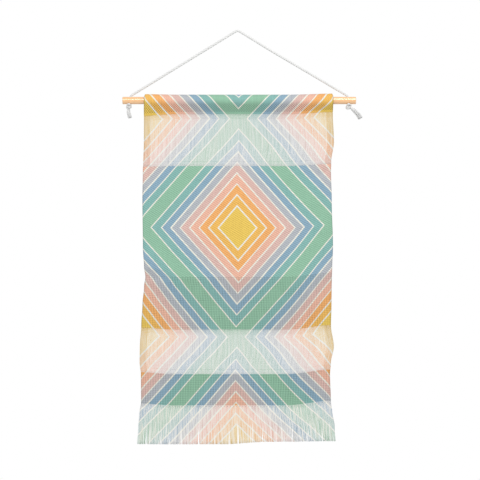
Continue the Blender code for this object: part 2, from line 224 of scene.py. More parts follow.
# Small creases: the place across as a share, height, tilt of the crease and its own sizes
Crease = namedtuple("Crease", "across z degrees half_length half_width depth")
CREASES = (
    Crease(0.06, -0.4275, 4, 0.050, 0.0050, 0.0011),
    Crease(0.05, -0.4120, -12, 0.030, 0.0060, -0.0007),
    Crease(0.97, -0.2450, 24, 0.030, 0.0070, 0.0009),
    Crease(0.93, -0.3600, -38, 0.045, 0.0100, 0.0008),
    Crease(0.30, -0.2900, 82, 0.050, 0.0120, -0.0006),
    Crease(0.62, -0.3700, 78, 0.060, 0.0130, 0.0007),
    Crease(0.98, -0.5250, 16, 0.035, 0.0060, 0.0010),
    Crease(0.06, -0.5860, -10, 0.040, 0.0060, 0.0009),
    Crease(0.20, -0.6300, 68, 0.026, 0.0090, 0.0008),
    Crease(0.80, -0.6250, -64, 0.028, 0.0090, -0.0008),
)
COCKLE = 0.00035
COCKLES_ACROSS = 28.0
COCKLES_DOWN = 22.0
COCKLE_SEED = 3.7

# Loose warp threads of the sheer bands
WARP_PITCH = 0.00062
HEM_WARP_PITCH = 0.0009
HEM_WARP_START = 0.3
WARP_RADIUS = 0.000178
WARP_SIDES = 4
WARP_RINGS = 15
WARP_OVERLAP = 0.0012
WARP_Y = -0.0006
HEM_WARP_Y = 0.0005
WARP_FREE_POWER = 0.6
BUNCH = 0.00042
BUNCH_WIDTH = 0.0030
BUNCH_HEIGHT = 0.0420
BUNCH_SEED = 10
SWAY = 0.0004
SWAY_SHIFT = 0.37
SWAY_SEED = 7
EDGE_CALM = 0.003
EDGE_LEAST = 0.25

# Weft picks that hold the loose threads, from a band's upper end down and from its lower end up
HEAD_PICKS = (0.0005, 0.0011, 0.0018, 0.0026, 0.0036, 0.0048, 0.0062, 0.0080)
FOOT_PICKS = (0.0078,)
LAST_ROW_PICKS = (0.0010, 0.0025, 0.0044)
PICK_RADIUS = 0.00020
PICK_SIDES = 3
PICK_WEAVE = 0.00030

# Fringe
FRINGE_PITCH = 0.00070
FRINGE_RADIUS = 0.00024
FRINGE_SIDES = 4
FRINGE_RINGS = 14
FRINGE_SEED = 11
FRINGE_LENGTH = 0.0568
TIPS_FROM = 0.80
FRINGE_UNEVEN = 0.0008
FRINGE_DEPTH = 0.00045
FRINGE_FREE_BY = 0.25
FRINGE_WAVER = 0.0009
WAVER_SEED = 5.1
WAVER_DEPTH_SEED = 8.3
WAVER_DEPTH_SHIFT = 0.5
FRINGE_STRAY = 0.0003
TIP_SETTLE = 0.90
CUT_RISE = 0.0044
CUT_RISE_FROM = -0.030
CUT_RISE_TO = 0.055

# How the strands part: places between partings, widths of the gaps at the tips, and how far up they reach
Parting = namedtuple("Parting", "spacing gap reach draw lean")
PARTINGS = (
    Parting((0.0080, 0.0300), (0.0006, 0.0024), (0.35, 0.90), 0.0050, 0.0010),
    Parting((0.0018, 0.0048), (0.0000, 0.0008), (0.50, 1.00), 0.0014, 0.0003),
)

# Stitches of the sleeve's seam and the hems
STITCH_PITCH = 0.0032
STITCH_SHOWN = 0.62
STITCH_RADIUS = 0.00017
STITCH_SIDES = 5
STITCH_RINGS = 5
STITCH_PROUD = 0.00005
STITCH_DIP = 0.0004
SEAM_RISE = 0.0022
SEAM_SPAN = (0.004, 0.996)
HEM_LINE = 0.0098
HEM_LINE_GAP = 0.002

# Print: nested lozenges, sizes across and down the cloth
LOZENGE_HALF_WIDTH = 0.166
LOZENGE_HALF_HEIGHT = 0.190
LOZENGE_MIDDLE = 0.198
LINE_WIDTH = 0.0022
Stripe = namedtuple("Stripe", "name end colour")
STRIPES = (
    Stripe("yellow", 0.200, (235, 200, 97)),
    Stripe("amber", 0.300, (239, 187, 98)),
    Stripe("orange", 0.400, (242, 177, 110)),
    Stripe("coral", 0.500, (237, 185, 162)),
    Stripe("pink", 0.600, (220, 186, 177)),
    Stripe("lilac", 0.695, (181, 186, 192)),
    Stripe("blue", 0.795, (142, 173, 192)),
    Stripe("teal", 0.905, (136, 184, 178)),
    Stripe("green", 1.000, (148, 193, 166)),
)
LINE_COLOUR = (236, 234, 222)

# Weaves: wave lengths, and how strongly each one shows
BAND_SOFT = 0.0006
TWILL_WAVE = 0.0039
TWILL_SLOPE = 0.60
TWILL_SHOWS = 0.34
TWILL_LESS = 0.03
CORD_WAVE = 0.0029
CORDS_SHOW = 0.27
STEP_WAVE = 0.0031
STEPS_SHOW = 0.15
PLAIN_UNEVEN = 1.8
PLAIN_LESS = 0.3
EYE_WAVE = 0.0042
EYES_DOUBLED = 0.34
EYES_SINGLE = 0.05
SLEEVE_CORDS = 0.05
FINE_WAVE = 0.0009

# From where to where each part of the cloth fades in, down from the seam or out from the middle
SLEEVE_EDGE = (-0.0004, 0.0004)
DOUBLED_TOP = (-LEG_LENGTH - 0.0022, -LEG_LENGTH + 0.0056)
DOUBLED_FOOT = (-SINGLE_STRIP - 0.0010, -SINGLE_STRIP + 0.0010)
CROWN_EDGE = (-LEG_LENGTH - 0.0180, -LEG_LENGTH - 0.0060)
CLOTH_RIM = (PRINT_WIDTH / 2 - 0.0018, PRINT_WIDTH / 2 + 0.0004)
YARN_RIM = (PRINT_WIDTH / 2 - 0.0030, PRINT_WIDTH / 2 - 0.0006)

# How much darker the cloth and the yarn are there; over the crown and at the rims this is painted shade,
# under the rod partly painted shade
PLAIN_SHADE = 0.13
# Under the rod the doubled layer is darker in its own tone, and painted shade darkens it further
DOUBLED_LAYER_AND_PAINTED_SHADE = 0.16
# Painted shade on the sleeve's crown, which the lamps light from above
CROWN_PAINTED_SHADE = 0.05
# Painted shade along the cloth's folded side edges
CLOTH_RIM_PAINTED_SHADE = 0.18
# Painted shade along the yarn at the side edges
YARN_RIM_PAINTED_SHADE = 0.14
TIP_SHADE = 0.04

# The cloth's relief, and its paler reverse
WEAVE_RELIEF = 3.0
FINE_RELIEF = 0.16
STREAK_RELIEF = 0.9
SLUB_RELIEF = 0.6
FLECK_RELIEF = 0.6
REVERSE_PALENESS = 0.62
REVERSE_COLOUR = (240, 236, 224)

# Bare fibre that shows on the yarn, its twist, and a row of painted shadow dots above the fringe
BARE_COLOUR = (246, 240, 226)
BARE_EDGE = (0.40, 0.66)
BARE_LESS_AT_TIPS = 0.45
# At the side edges less bare fibre shows, as part of the painted shade there
BARE_LESS_AT_SHADED_RIM = 0.6
PLY_WAVE = 0.0011
PLY_SLOPE = 0.7
# Painted shadow dots, for shade seen through small gaps: their spacing, width, row, softness and darkness
GAP_SHADOW_WAVE = 0.0053
GAP_SHADOW_EDGE = (0.2, 0.9)
GAP_SHADOW_ROW = (0.0010, 0.0028)
GAP_SHADOW_SOFT = 0.0005
GAP_PAINTED_SHADOW = 0.42
Yarn = namedtuple("Yarn", "name bare level")
LOOSE_YARN = Yarn("loose_yarn", 0.35, 1.06)
FRINGE_YARN = Yarn("fringe_yarn", 0.75, 1.11)

# How much light every finish mirrors
SHINE = 0.25

# Wood
WOOD_COAT = {"Coat Weight": 1.0, "Coat Roughness": 0.17, "Coat IOR": 1.85}
WOOD_PALE = (255, 208, 156)
WOOD_DARK = (253, 193, 130)
HEART_BEHIND = 0.021
HEART_BELOW = 0.013
RING_WIDTH = 0.0016
RING_TONE = 0.30
RING_RELIEF = 0.15

# Cotton of the cord
COTTON_DARK = (236, 236, 235)
COTTON_PALE = (250, 250, 249)
HAIR_TURNS = 7.0
HAIRS_PER_METRE = 420.0
HAIRS_SHOW = 0.03
# Painted shade on each strand's inner side, where the strands meet
GROOVE_TURN = 0.25
GROOVE_EDGE = (-0.35, 0.80)
GROOVE_PAINTED_SHADE = 0.34
SOIL_SCALE = 120.0
SOIL_SHOWS = 0.06

# Random unevenness: its changes in a metre the first way and the other ways, its detail and its strength
Grain = namedtuple("Grain", "first other detail shows", defaults=(2.0, 1.0))
PATCHES = Grain(60.0, 60.0)
STREAKS = Grain(900.0, 18.0, 3.0, 0.26)
SLUBS = Grain(40.0, 700.0, 3.0, 0.18)
FLECKS = Grain(640.0, 640.0, 2.0, 0.30)
CLOUDS = Grain(14.0, 14.0, 2.0, 0.08)
LOCKS = Grain(260.0, 9.0, 2.0, 0.22)
TURNS = Grain(1100.0, 26.0, 1.0)
FIBRES = Grain(9.0, 260.0, 3.0, 0.14)
RING_DRIFT = Grain(9.0, 30.0, 2.0, 0.0030)
PORES = Grain(160.0, 2400.0, 3.0, 0.22)
BROAD_GRAIN = Grain(22.0, 160.0, 2.0, 0.16)

# Camera, lamps and floor
CAMERA_PLACE = (0.0051, -3.0, -0.3613)
CAMERA_LENS = 129.31
FILM_WIDTH = 36.0
Lamp = namedtuple("Lamp", "name place width height watts")
LAMPS = (
    Lamp("key", (1.0, -1.4, 2.1), 0.9, 0.9, 14),
    Lamp("strip", (0.0, -2.2, 1.10), 2.6, 0.30, 36),
)
LAMPS_AIM = (0.0, 0.0, -0.36)
ROOM_LIGHT = 0.50
FLOOR_SIZE = 1.2
FLOOR_Z = -1.04
FLOOR_DARK = (240, 240, 239)
FLOOR_PALE = (246, 246, 245)


def linear(red, green, blue):
    """A colour of the screen as light, which the shaders work in."""
    shares = [value / 255 for value in (red, green, blue)]
    return tuple(x / 12.92 if x <= 0.04045 else ((x + 0.055) / 1.055) ** 2.4 for x in shares) + (1.0,)


# Shader values
class Field:
    """A value of a shader: an expression on it adds Math nodes."""

    def __init__(self, finish, socket):
        self.finish = finish
        self.socket = socket

    def math(self, operation, *others, clamp=False):
        values = dict(enumerate((self, *others)))
        return self.finish.node("Math", {"operation": operation, "use_clamp": clamp}, values)

    def __add__(self, other):
        return self.math("ADD", other)

    def __sub__(self, other):
        return self.math("SUBTRACT", other)

    def __mul__(self, other):
        return self.math("MULTIPLY", other)

    def __truediv__(self, other):
        return self.math("DIVIDE", other)

    def __rsub__(self, other):
        return (self * -1.0) + other

    def __abs__(self):
        return self.math("ABSOLUTE")

    __radd__ = __add__
    __rmul__ = __mul__

    def sine(self):
        return self.math("SINE")

    def clamp(self):
        return self.math("ADD", 0.0, clamp=True)

    def fold(self, size):
        return self.math("PINGPONG", size)

    def step(self, low, high):
        """Rises smoothly from 0 at low to 1 at high."""
        settings = {"interpolation_type": "SMOOTHSTEP"}
        return self.finish.node("MapRange", settings, {"Value": self, "From Min": low, "From Max": high})

    def between(self, low, high, soft):
        return self.step(low - soft, low + soft) * (1 - self.step(high - soft, high + soft))


class Finish:
    """A material and its nodes."""

    def __init__(self, name, roughness, sheen=0.0):
        self.material = bpy.data.materials.new(name)
        self.material.use_nodes = True
        self.nodes = self.material.node_tree.nodes
        self.links = self.material.node_tree.links
        self.shader = self.nodes["Principled BSDF"]
        self.shader.inputs["Roughness"].default_value = roughness
        self.shader.inputs["Sheen Weight"].default_value = sheen
        self.shader.inputs["Specular IOR Level"].default_value = SHINE

    def node(self, kind, settings, values, output=0):
        """Adds a node: its settings first, then the values or links of its sockets."""
        made = self.nodes.new("ShaderNode" + kind)
        for name, value in settings.items():
            if name == "stops":
                self.set_stops(made.color_ramp, value)
            else:
                setattr(made, name, value)
        for name, value in values.items():
            if isinstance(value, Field):
                self.links.new(value.socket, made.inputs[name])
            else:
                made.inputs[name].default_value = value
        return Field(self, made.outputs[output])

    @staticmethod
    def set_stops(ramp, stops):
        ramp.interpolation = "CONSTANT"
        while len(ramp.elements) < len(stops):
            ramp.elements.new(1.0)
        for element, (place, colour) in zip(ramp.elements, stops):
            element.position = place
            element.color = colour

    def across_and_down(self):
        """The cloth's own measures in metres: across from its middle line, down from the sleeve's seam."""
        return self.parts(self.node("UVMap", {"uv_map": "UVMap"}, {}), 2)

    def object_place(self):
        return self.node("TexCoord", {}, {}, "Object")

    def parts(self, place, count):
        return [self.node("SeparateXYZ", {}, {"Vector": place}, part) for part in range(count)]

    def vector(self, x, y, z=0.0):
        return self.node("CombineXYZ", {}, {0: x, 1: y, 2: z})

    def speckle(self, place, scale=1.0, detail=2.0):
        """Soft random values around 0.5."""
        values = {"Vector": place, "Scale": scale, "Detail": detail}
        return self.node("TexNoise", {"noise_dimensions": "3D"}, values)

    def grained(self, grain, first, *others):
        """Soft random values around 0.5, as a grain says."""
        place = self.vector(first * grain.first, *(other * grain.other for other in others))
        return self.speckle(place, detail=grain.detail)

    def mixed(self, share, first, second, blend="MIX"):
        settings = {"data_type": "RGBA", "blend_type": blend, "clamp_factor": True}
        return self.node("Mix", settings, {0: share, 6: first, 7: second}, 2)

    def shaded(self, colour, value):
        """A colour made lighter or darker by a value."""
        grey = self.node("CombineColor", {}, {0: value, 1: value, 2: value})
        return self.mixed(1.0, colour, grey, "MULTIPLY")

    def show(self, colour, height=None, strength=1.0, distance=0.001):
        self.links.new(colour.socket, self.shader.inputs["Base Color"])
        if height is not None:
            bump = self.node("Bump", {}, {"Strength": strength, "Distance": distance, "Height": height})
            self.links.new(bump.socket, self.shader.inputs["Normal"])
        return self.material


# Finishes
def print_colour(finish, across, down):
    """Nested lozenges in nine colours from a yellow heart, parted by cream lines."""
    steepness = LOZENGE_HALF_WIDTH / LOZENGE_HALF_HEIGHT
    slant = (1 + steepness * steepness) ** 0.5
    out = abs(across).fold(LOZENGE_HALF_WIDTH)
    along = (down - LOZENGE_MIDDLE).fold(LOZENGE_HALF_HEIGHT) * steepness
    rise = (out + along).fold(LOZENGE_HALF_WIDTH)
    half_line = LINE_WIDTH / 2 * slant / LOZENGE_HALF_WIDTH
    stops = []
    start = 0.0
    for stripe in STRIPES:
        stops += [(start, linear(*stripe.colour)), (stripe.end - half_line, linear(*LINE_COLOUR))]
        start = stripe.end + half_line
    return finish.node("ValToRGB", {"stops": stops[:-1]}, {"Fac": rise / LOZENGE_HALF_WIDTH})


def band_masks(down):
    """Where the dense plain weave lies, and where the twill."""
    ends = [SEAM_Z - band.end_z for band in BANDS]
    plain = down.between(ends[1], ends[2], BAND_SOFT) + down.between(ends[3], ends[4], BAND_SOFT)
    twill = down.between(ends[0], ends[1], BAND_SOFT)
    return plain, twill


def woven_finish(name, reverse=False):
    finish = Finish(name, roughness=0.86, sheen=0.12)
    across, down = finish.across_and_down()
    colour = print_colour(finish, across, down)
    plain, twill = band_masks(down)
    sleeve = 1 - down.step(*SLEEVE_EDGE)
    # The sleeve's crown over the rod, which gets painted shade
    crown = 1 - down.step(*CROWN_EDGE)
    # The doubled leg under the rod: its eyes are weave, its darkness partly its own tone and partly painted
    # shade
    doubled = down.step(*DOUBLED_TOP) * (1 - down.step(*DOUBLED_FOOT))
    # The side edges, which get painted shade
    rim = abs(across).step(*CLOTH_RIM)
    ribs = ((down - across * TWILL_SLOPE) * (tau / TWILL_WAVE)).sine()
    cords = (across * (tau / CORD_WAVE)).sine()
    steps = (down * (tau / STEP_WAVE)).sine()
    eyes = (across * (tau / EYE_WAVE)).sine() * (down * (tau / EYE_WAVE)).sine()
    uneven = finish.grained(PATCHES, across, down)
    pattern = ribs * twill * (uneven * TWILL_SHOWS - TWILL_LESS)
    squares = (cords * CORDS_SHOW + steps * STEPS_SHOW) * plain
    pattern = pattern + squares * (uneven * PLAIN_UNEVEN - PLAIN_LESS)
    birdseye = eyes * (doubled * EYES_DOUBLED + EYES_SINGLE) + cords * SLEEVE_CORDS
    pattern = pattern + birdseye * sleeve * (uneven + 0.5)
    streaks = finish.grained(STREAKS, across, down) - 0.5
    slubs = finish.grained(SLUBS, across, down) - 0.5
    flecks = finish.grained(FLECKS, across, down) - 0.5
    clouds = finish.grained(CLOUDS, across, down) - 0.5
    light = streaks * STREAKS.shows + slubs * SLUBS.shows + flecks * FLECKS.shows + clouds * CLOUDS.shows
    # Under the rod: the doubled layer's own darker tone and painted shade
    light = light + pattern - plain * PLAIN_SHADE - doubled * DOUBLED_LAYER_AND_PAINTED_SHADE
    # Painted shade over the crown and along the rims
    light = light - crown * CROWN_PAINTED_SHADE - rim * CLOTH_RIM_PAINTED_SHADE + 1.0
    colour = finish.shaded(colour, light)
    if reverse:
        colour = finish.mixed(REVERSE_PALENESS, colour, linear(*REVERSE_COLOUR))
    fine = (across * (tau / FINE_WAVE)).sine() * (down * (tau / FINE_WAVE)).sine()
    height = pattern * WEAVE_RELIEF + fine * FINE_RELIEF
    height = height + streaks * STREAK_RELIEF + slubs * SLUB_RELIEF + flecks * FLECK_RELIEF
    return finish.show(colour, height, strength=0.6, distance=0.0005)


def yarn_finish(yarn):
    """Printed yarn: the print lies on one side of it, so some of the bare fibre shows."""
    finish = Finish(yarn.name, roughness=0.88, sheen=0.15)
    across, down = finish.across_and_down()
    colour = print_colour(finish, across, down)
    locks = finish.grained(LOCKS, across, down) - 0.5
    turned = finish.grained(TURNS, across, down).step(*BARE_EDGE)
    roots = SEAM_Z - CLOTH_END_Z
    tips = down.step(roots + FRINGE_LENGTH * TIPS_FROM, roots + FRINGE_LENGTH)
    # The side edges: painted shade there, with less bare fibre
    rim = abs(across).step(*YARN_RIM)
    shown = turned * yarn.bare * (1 - tips * BARE_LESS_AT_TIPS) * (1 - rim * BARE_LESS_AT_SHADED_RIM)
    colour = finish.mixed(shown, colour, linear(*BARE_COLOUR))
    # Painted shadow: a row of dark dots above the fringe, for shade seen through small gaps
    last_rows = SEAM_Z - LAST_ROWS_Z
    row = down.between(last_rows + GAP_SHADOW_ROW[0], last_rows + GAP_SHADOW_ROW[1], GAP_SHADOW_SOFT)
    painted_gap_shadows = (across * (tau / GAP_SHADOW_WAVE)).sine().step(*GAP_SHADOW_EDGE) * row
    light = locks * LOCKS.shows - painted_gap_shadows * GAP_PAINTED_SHADOW - rim * YARN_RIM_PAINTED_SHADE - tips * TIP_SHADE
    ply = ((down + across * PLY_SLOPE) * (tau / PLY_WAVE)).sine()
    return finish.show(finish.shaded(colour, light + yarn.level), ply, strength=0.35, distance=0.0002)


def wood_finish():
    finish = Finish("pale_wood", roughness=0.45)
    for socket, value in WOOD_COAT.items():
        finish.shader.inputs[socket].default_value = value
    x, y, z = finish.parts(finish.object_place(), 3)
    drift = finish.grained(RING_DRIFT, x, y, z) - 0.5
    from_heart = finish.vector(y + HEART_BEHIND, z - ROD_AXIS_Z + HEART_BELOW)
    radius = finish.node("VectorMath", {"operation": "LENGTH"}, {0: from_heart}, "Value")
    rings = ((radius + drift * RING_DRIFT.shows) * (tau / RING_WIDTH)).sine()
    pores = finish.grained(PORES, x, y, z) - 0.5
    broad = finish.grained(BROAD_GRAIN, x, y, z) - 0.5
    tone = finish.mixed((rings * RING_TONE + 0.5).clamp(), linear(*WOOD_PALE), linear(*WOOD_DARK))
    light = pores * PORES.shows + broad * BROAD_GRAIN.shows + 1.0
    height = pores + rings * RING_RELIEF
    return finish.show(finish.shaded(tone, light), height, strength=0.004, distance=0.0003)


def cotton_finish(name, painted_groove_shade):
    finish = Finish(name, roughness=0.88, sheen=0.2)
    around, along = finish.across_and_down()
    fibres = finish.grained(FIBRES, around, along)
    soil = finish.speckle(finish.object_place(), scale=SOIL_SCALE) - 0.5
    hairs = ((around * HAIR_TURNS + along * HAIRS_PER_METRE) * tau).sine()
    # Painted shade on each strand's inner side, where it meets the others
    between_strands = 1 - ((around + GROOVE_TURN) * tau).sine().step(*GROOVE_EDGE)
    light = (fibres - 0.5) * FIBRES.shows + soil * SOIL_SHOWS + hairs * HAIRS_SHOW
    light = light - between_strands * painted_groove_shade + 1.0
    colour = finish.mixed(fibres, linear(*COTTON_DARK), linear(*COTTON_PALE))
    return finish.show(finish.shaded(colour, light), hairs + fibres, strength=0.4, distance=0.0002)


def floor_finish():
    finish = Finish("pale_floor", roughness=0.75)
    grain = finish.speckle(finish.object_place(), scale=3.0)
    return finish.show(finish.mixed(grain, linear(*FLOOR_DARK), linear(*FLOOR_PALE)))


# Shaping
def smoothstep(value):
    value = np.clip(value, 0.0, 1.0)
    return value * value * (3 - 2 * value)


def read_table(table, z, side):
    """A table's left or right value at a height, eased between its rows."""
    value = np.full_like(z, getattr(table[0], side))
    for upper, lower in zip(table, table[1:]):
        share = smoothstep((upper.z - z) / (upper.z - lower.z))
        value = value + (getattr(lower, side) - getattr(upper, side)) * share
    return value


def edge_at(z, side):
    """The x of a row's left or right end, read at the height the row is lifted to there."""
    return read_table(EDGES, z + read_table(LIFTS, z, side), side)


def climb(x, z):
    """How far the woven rows are lifted near the side edges."""
    at_left = 1 - smoothstep((x - edge_at(z, "left")) / LIFT_LEFT_REACH)
    at_right = (1 - smoothstep((edge_at(z, "right") - x) / LIFT_RIGHT_REACH)) ** LIFT_RIGHT_POWER
    return read_table(LIFTS, z, "left") * at_left + read_table(LIFTS, z, "right") * at_right


def cockles(x, z):
    """Soft unevenness of hanging cloth, a few centimetres across."""
    spots = [Vector((a * COCKLES_ACROSS, b * COCKLES_DOWN, COCKLE_SEED)) for a, b in zip(x, z)]
    return COCKLE * np.array([noise.noise(spot) for spot in spots])


def fold_depth(across, z):
    """How far the sheet stands back (+) or out (-) from its plane."""
    width = edge_at(z, "right") - edge_at(z, "left")
    depth = np.zeros_like(z)
    for fold in FOLDS:
        u = (across - fold.across) * width / fold.half_width
        v = (z - fold.z) / fold.half_height
        depth = depth + fold.depth * (1 - smoothstep(abs(u))) * (1 - smoothstep(abs(v)))
    for crease in CREASES:
        du = (across - crease.across) * width
        dv = z - crease.z
        turn = radians(crease.degrees)
        along = (du * cos(turn) + dv * sin(turn)) / crease.half_length
        aside = (dv * cos(turn) - du * sin(turn)) / crease.half_width
        depth = depth + crease.depth * (1 - smoothstep(abs(along))) * (1 - smoothstep(abs(aside)))
    settle = smoothstep((SEAM_Z - z) / SETTLE_HEIGHT)
    return settle * (depth + cockles(across * width, z))


def on_panel(across, z, y):
    """Places in the hanging cloth: the share across, the height before the lift, the depth in the sheet."""
    left, right = edge_at(z, "left"), edge_at(z, "right")
    x = left + across * (right - left)
    return np.stack([x + ROD_MIDDLE_X, y + fold_depth(across, z), z + climb(x, z)], axis=1)


# Meshes and objects
def made_mesh(name, bm):
    mesh = bpy.data.meshes.new(name)
    bm.to_mesh(mesh)
    bm.free()
    return mesh


def add_object(name, data):
    item = bpy.data.objects.new(name, data)
    bpy.context.scene.collection.objects.link(item)
    return item


def applied(mesh, kind, *all_settings):
    """A new mesh, with a modifier of one kind applied for each of the settings."""
    holder = add_object("holder", mesh)
    for settings in all_settings:
        modifier = holder.modifiers.new("step", kind)
        for name, value in settings.items():
            setattr(modifier, name, value)
    graph = bpy.context.evaluated_depsgraph_get()
    result = bpy.data.meshes.new_from_object(holder.evaluated_get(graph))
    bpy.data.objects.remove(holder, do_unlink=True)
    return result


# Many tubes in one mesh
class Bundle:
    """Many copies of one round tube, made by an array, and the measures of each of its points."""

    def __init__(self, count, sides, rings):
        template = tube(sides, rings)
        own = len(template.vertices)
        self.mesh = applied(template, "ARRAY", {"count": count, "use_relative_offset": False})
        places = np.empty(len(self.mesh.vertices) * 3, dtype=np.float32)
        self.mesh.vertices.foreach_get("co", places)
        places = places.reshape(-1, 3).astype(float)
        self.number = np.arange(len(places)) // own
        self.aside = places[:, 0]
        self.behind = places[:, 1]
        self.share = np.clip(places[:, 2], 0.0, 1.0)

    def lay(self, name, centres, radius, first, second):
        """Moves the points to their places round the tubes' middle lines."""
        radius = np.broadcast_to(radius, self.share.shape)[:, None]
        first = np.broadcast_to(np.array(first, dtype=float), centres.shape)
        second = np.broadcast_to(np.array(second, dtype=float), centres.shape)
        offset = first * self.aside[:, None] + second * self.behind[:, None]
        self.mesh.vertices.foreach_set("co", (centres + radius * offset).astype(np.float32).ravel())
        self.mesh.name = name

    def mark(self, across, down):
        """Writes the cloth's own measures to the UV map, the same for each corner of a point."""
        corners = np.empty(len(self.mesh.loops), dtype=np.int32)
        self.mesh.loops.foreach_get("vertex_index", corners)
        marks = np.stack([across, down], axis=1)[corners]
        self.mesh.uv_layers["UVMap"].data.foreach_set("uv", marks.astype(np.float32).ravel())

    def stretch_marks(self, length):
        """Keeps the map's turn round the tube and writes the length along it."""
        layer = self.mesh.uv_layers["UVMap"]
        marks = np.empty(len(layer.data) * 2, dtype=np.float32)
        layer.data.foreach_get("uv", marks)
        marks[1::2] *= length
        layer.data.foreach_set("uv", marks)

    def finish(self, name, materials):
        return finish_piece(name, self.mesh, materials)


def tube(sides, rings):
    """A closed round tube of radius 1 along Z from 0 to 1, rolled from a grid that keeps its map."""
    bm = bmesh.new()
    bm.loops.layers.uv.new("UVMap")
    bmesh.ops.create_grid(bm, x_segments=sides, y_segments=rings - 1, size=0.5, calc_uvs=True)
    for vert in bm.verts:
        turn = tau * (vert.co.x + 0.5)
        vert.co = (cos(turn), sin(turn), vert.co.y + 0.5)
    bmesh.ops.remove_doubles(bm, verts=bm.verts[:], dist=0.001)
    rims = [edge for edge in bm.edges if edge.is_boundary]
    bmesh.ops.holes_fill(bm, edges=rims, sides=sides)
    return made_mesh("tube", bm)


def finish_piece(name, mesh, materials, turn_out=True):
    """An object at the origin, its faces outwards and smooth, riding on the one body."""
    if turn_out:
        bm = bmesh.new()
        bm.from_mesh(mesh)
        bmesh.ops.recalc_face_normals(bm, faces=bm.faces[:])
        bm.to_mesh(mesh)
        bm.free()
    piece = add_object(name, mesh)
    for material in materials:
        mesh.materials.append(material)
    mesh.shade_smooth()
    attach(piece, "root")
    return piece


# Camera
def add_camera():
    """Level with the hanging's middle and square to it."""
    lens = bpy.data.cameras.new("camera")
    lens.sensor_width = FILM_WIDTH
    lens.lens = CAMERA_LENS
    camera = add_object("camera", lens)
    camera.location = CAMERA_PLACE
    camera.rotation_euler = (pi / 2, 0, 0)
    bpy.context.scene.camera = camera


# Cord
def smooth_route(route):
    """Close points of a smooth curve through the route's own points."""
    marks = [Vector((x + ROD_MIDDLE_X, 0, z)) for x, z in route]
    headings = [(b - a).normalized() for a, b in zip(marks[:1] + marks[:-1], marks[1:] + marks[-1:])]
    fine = [marks[0]]
    for start, end, leaving, arriving in zip(marks, marks[1:], headings, headings[1:]):
        reach = (end - start).length / 3
        pulls = start + leaving * reach, end - arriving * reach
        fine += interpolate_bezier(start, *pulls, end, ROUTE_FINENESS)[1:]
    return np.array(fine)


def distances(points):
    return np.concatenate([[0.0], np.cumsum(np.linalg.norm(np.diff(points, axis=0), axis=1))])


def unit(vectors):
    return vectors / np.linalg.norm(vectors, axis=1)[:, None]


def read_along(values, along, at):
    return np.stack([np.interp(at, along, values[:, axis]) for axis in range(3)], axis=1)


def twist_cord(name, points, sideways, material, size=1.0):
    """Strands laid round a line. Sideways is a direction square to the line at each of its points."""
    along = distances(points)
    length = along[-1]
    rings = max(FEWEST_RINGS, round(length / LAY_LENGTH * STEPS_PER_LAY / size))
    bundle = Bundle(STRANDS, STRAND_SIDES, rings)
    at = bundle.share * length
    heading = unit(read_along(unit(np.gradient(points, axis=0)), along, at))
    side = read_along(sideways, along, at)
    side = unit(side - heading * np.sum(side * heading, axis=1)[:, None])
    up = np.cross(heading, side)
    turn = tau * (at / (LAY_LENGTH * size) + bundle.number / STRANDS)
    out = side * np.cos(turn)[:, None] + up * np.sin(turn)[:, None]
    swing = up * np.cos(turn)[:, None] - side * np.sin(turn)[:, None]
    slope = STRAND_OFFSET * tau / LAY_LENGTH
    lead = unit(heading + swing * slope)
    centres = read_along(points, along, at) + out * (STRAND_OFFSET * size)
    bundle.lay(name, centres, STRAND_RADIUS * size, out, np.cross(lead, out))
    bundle.stretch_marks(length)
    return bundle.finish(name, [material]), length


def add_hanging_cord(material):
    route = (*LEFT_TAIL[::-1], *CORD_ROUTE, *RIGHT_TAIL)
    points = smooth_route(route)
    cord, length = twist_cord("hanging_cord", points, np.tile((0.0, 1.0, 0.0), (len(points), 1)), material)
    return cord, length, points


def add_knot(knot, material):
    """The stopper knot's wraps round the cord."""
    middle_z = ROD_AXIS_Z - ROD_RADIUS - SEAT_GAP - knot.half_height
    share = np.linspace(0, 1, KNOT_POINTS)
    turn = tau * (share * knot.turns + knot.start_turn)
    tuck = smoothstep(share / KNOT_TUCK) * smoothstep((1 - share) / KNOT_TUCK)
    size = KNOT_NECK + (1 - KNOT_NECK) * tuck
    wide = (knot.half_width - KNOT_ROPE_RADIUS) * size
    deep = (knot.half_depth - KNOT_ROPE_RADIUS) * size
    drop = (knot.half_height - KNOT_ROPE_RADIUS) * (1 - 2 * share)
    tilt = KNOT_TILT * np.sin(turn + KNOT_TILT_TURN)
    fade = 1 - smoothstep((share - RISE_FADES_FROM) / RISE_FADES_OVER)
    front = np.clip(-np.sin(turn), 0, 1) ** 2 * fade
    out = np.stack([np.cos(turn), np.sin(turn), np.zeros_like(turn)], axis=1)
    points = np.stack([wide * np.cos(turn), deep * np.sin(turn), drop + tilt], axis=1)
    points = points + np.array((knot.centre_x + ROD_MIDDLE_X, 0, middle_z))
    points = points + front[:, None] * np.array((0, -knot.forward, knot.rise))
    return twist_cord(f"stopper_knot_{knot.side}", points, out, material, size=KNOT_ROPE_SIZE)[0]


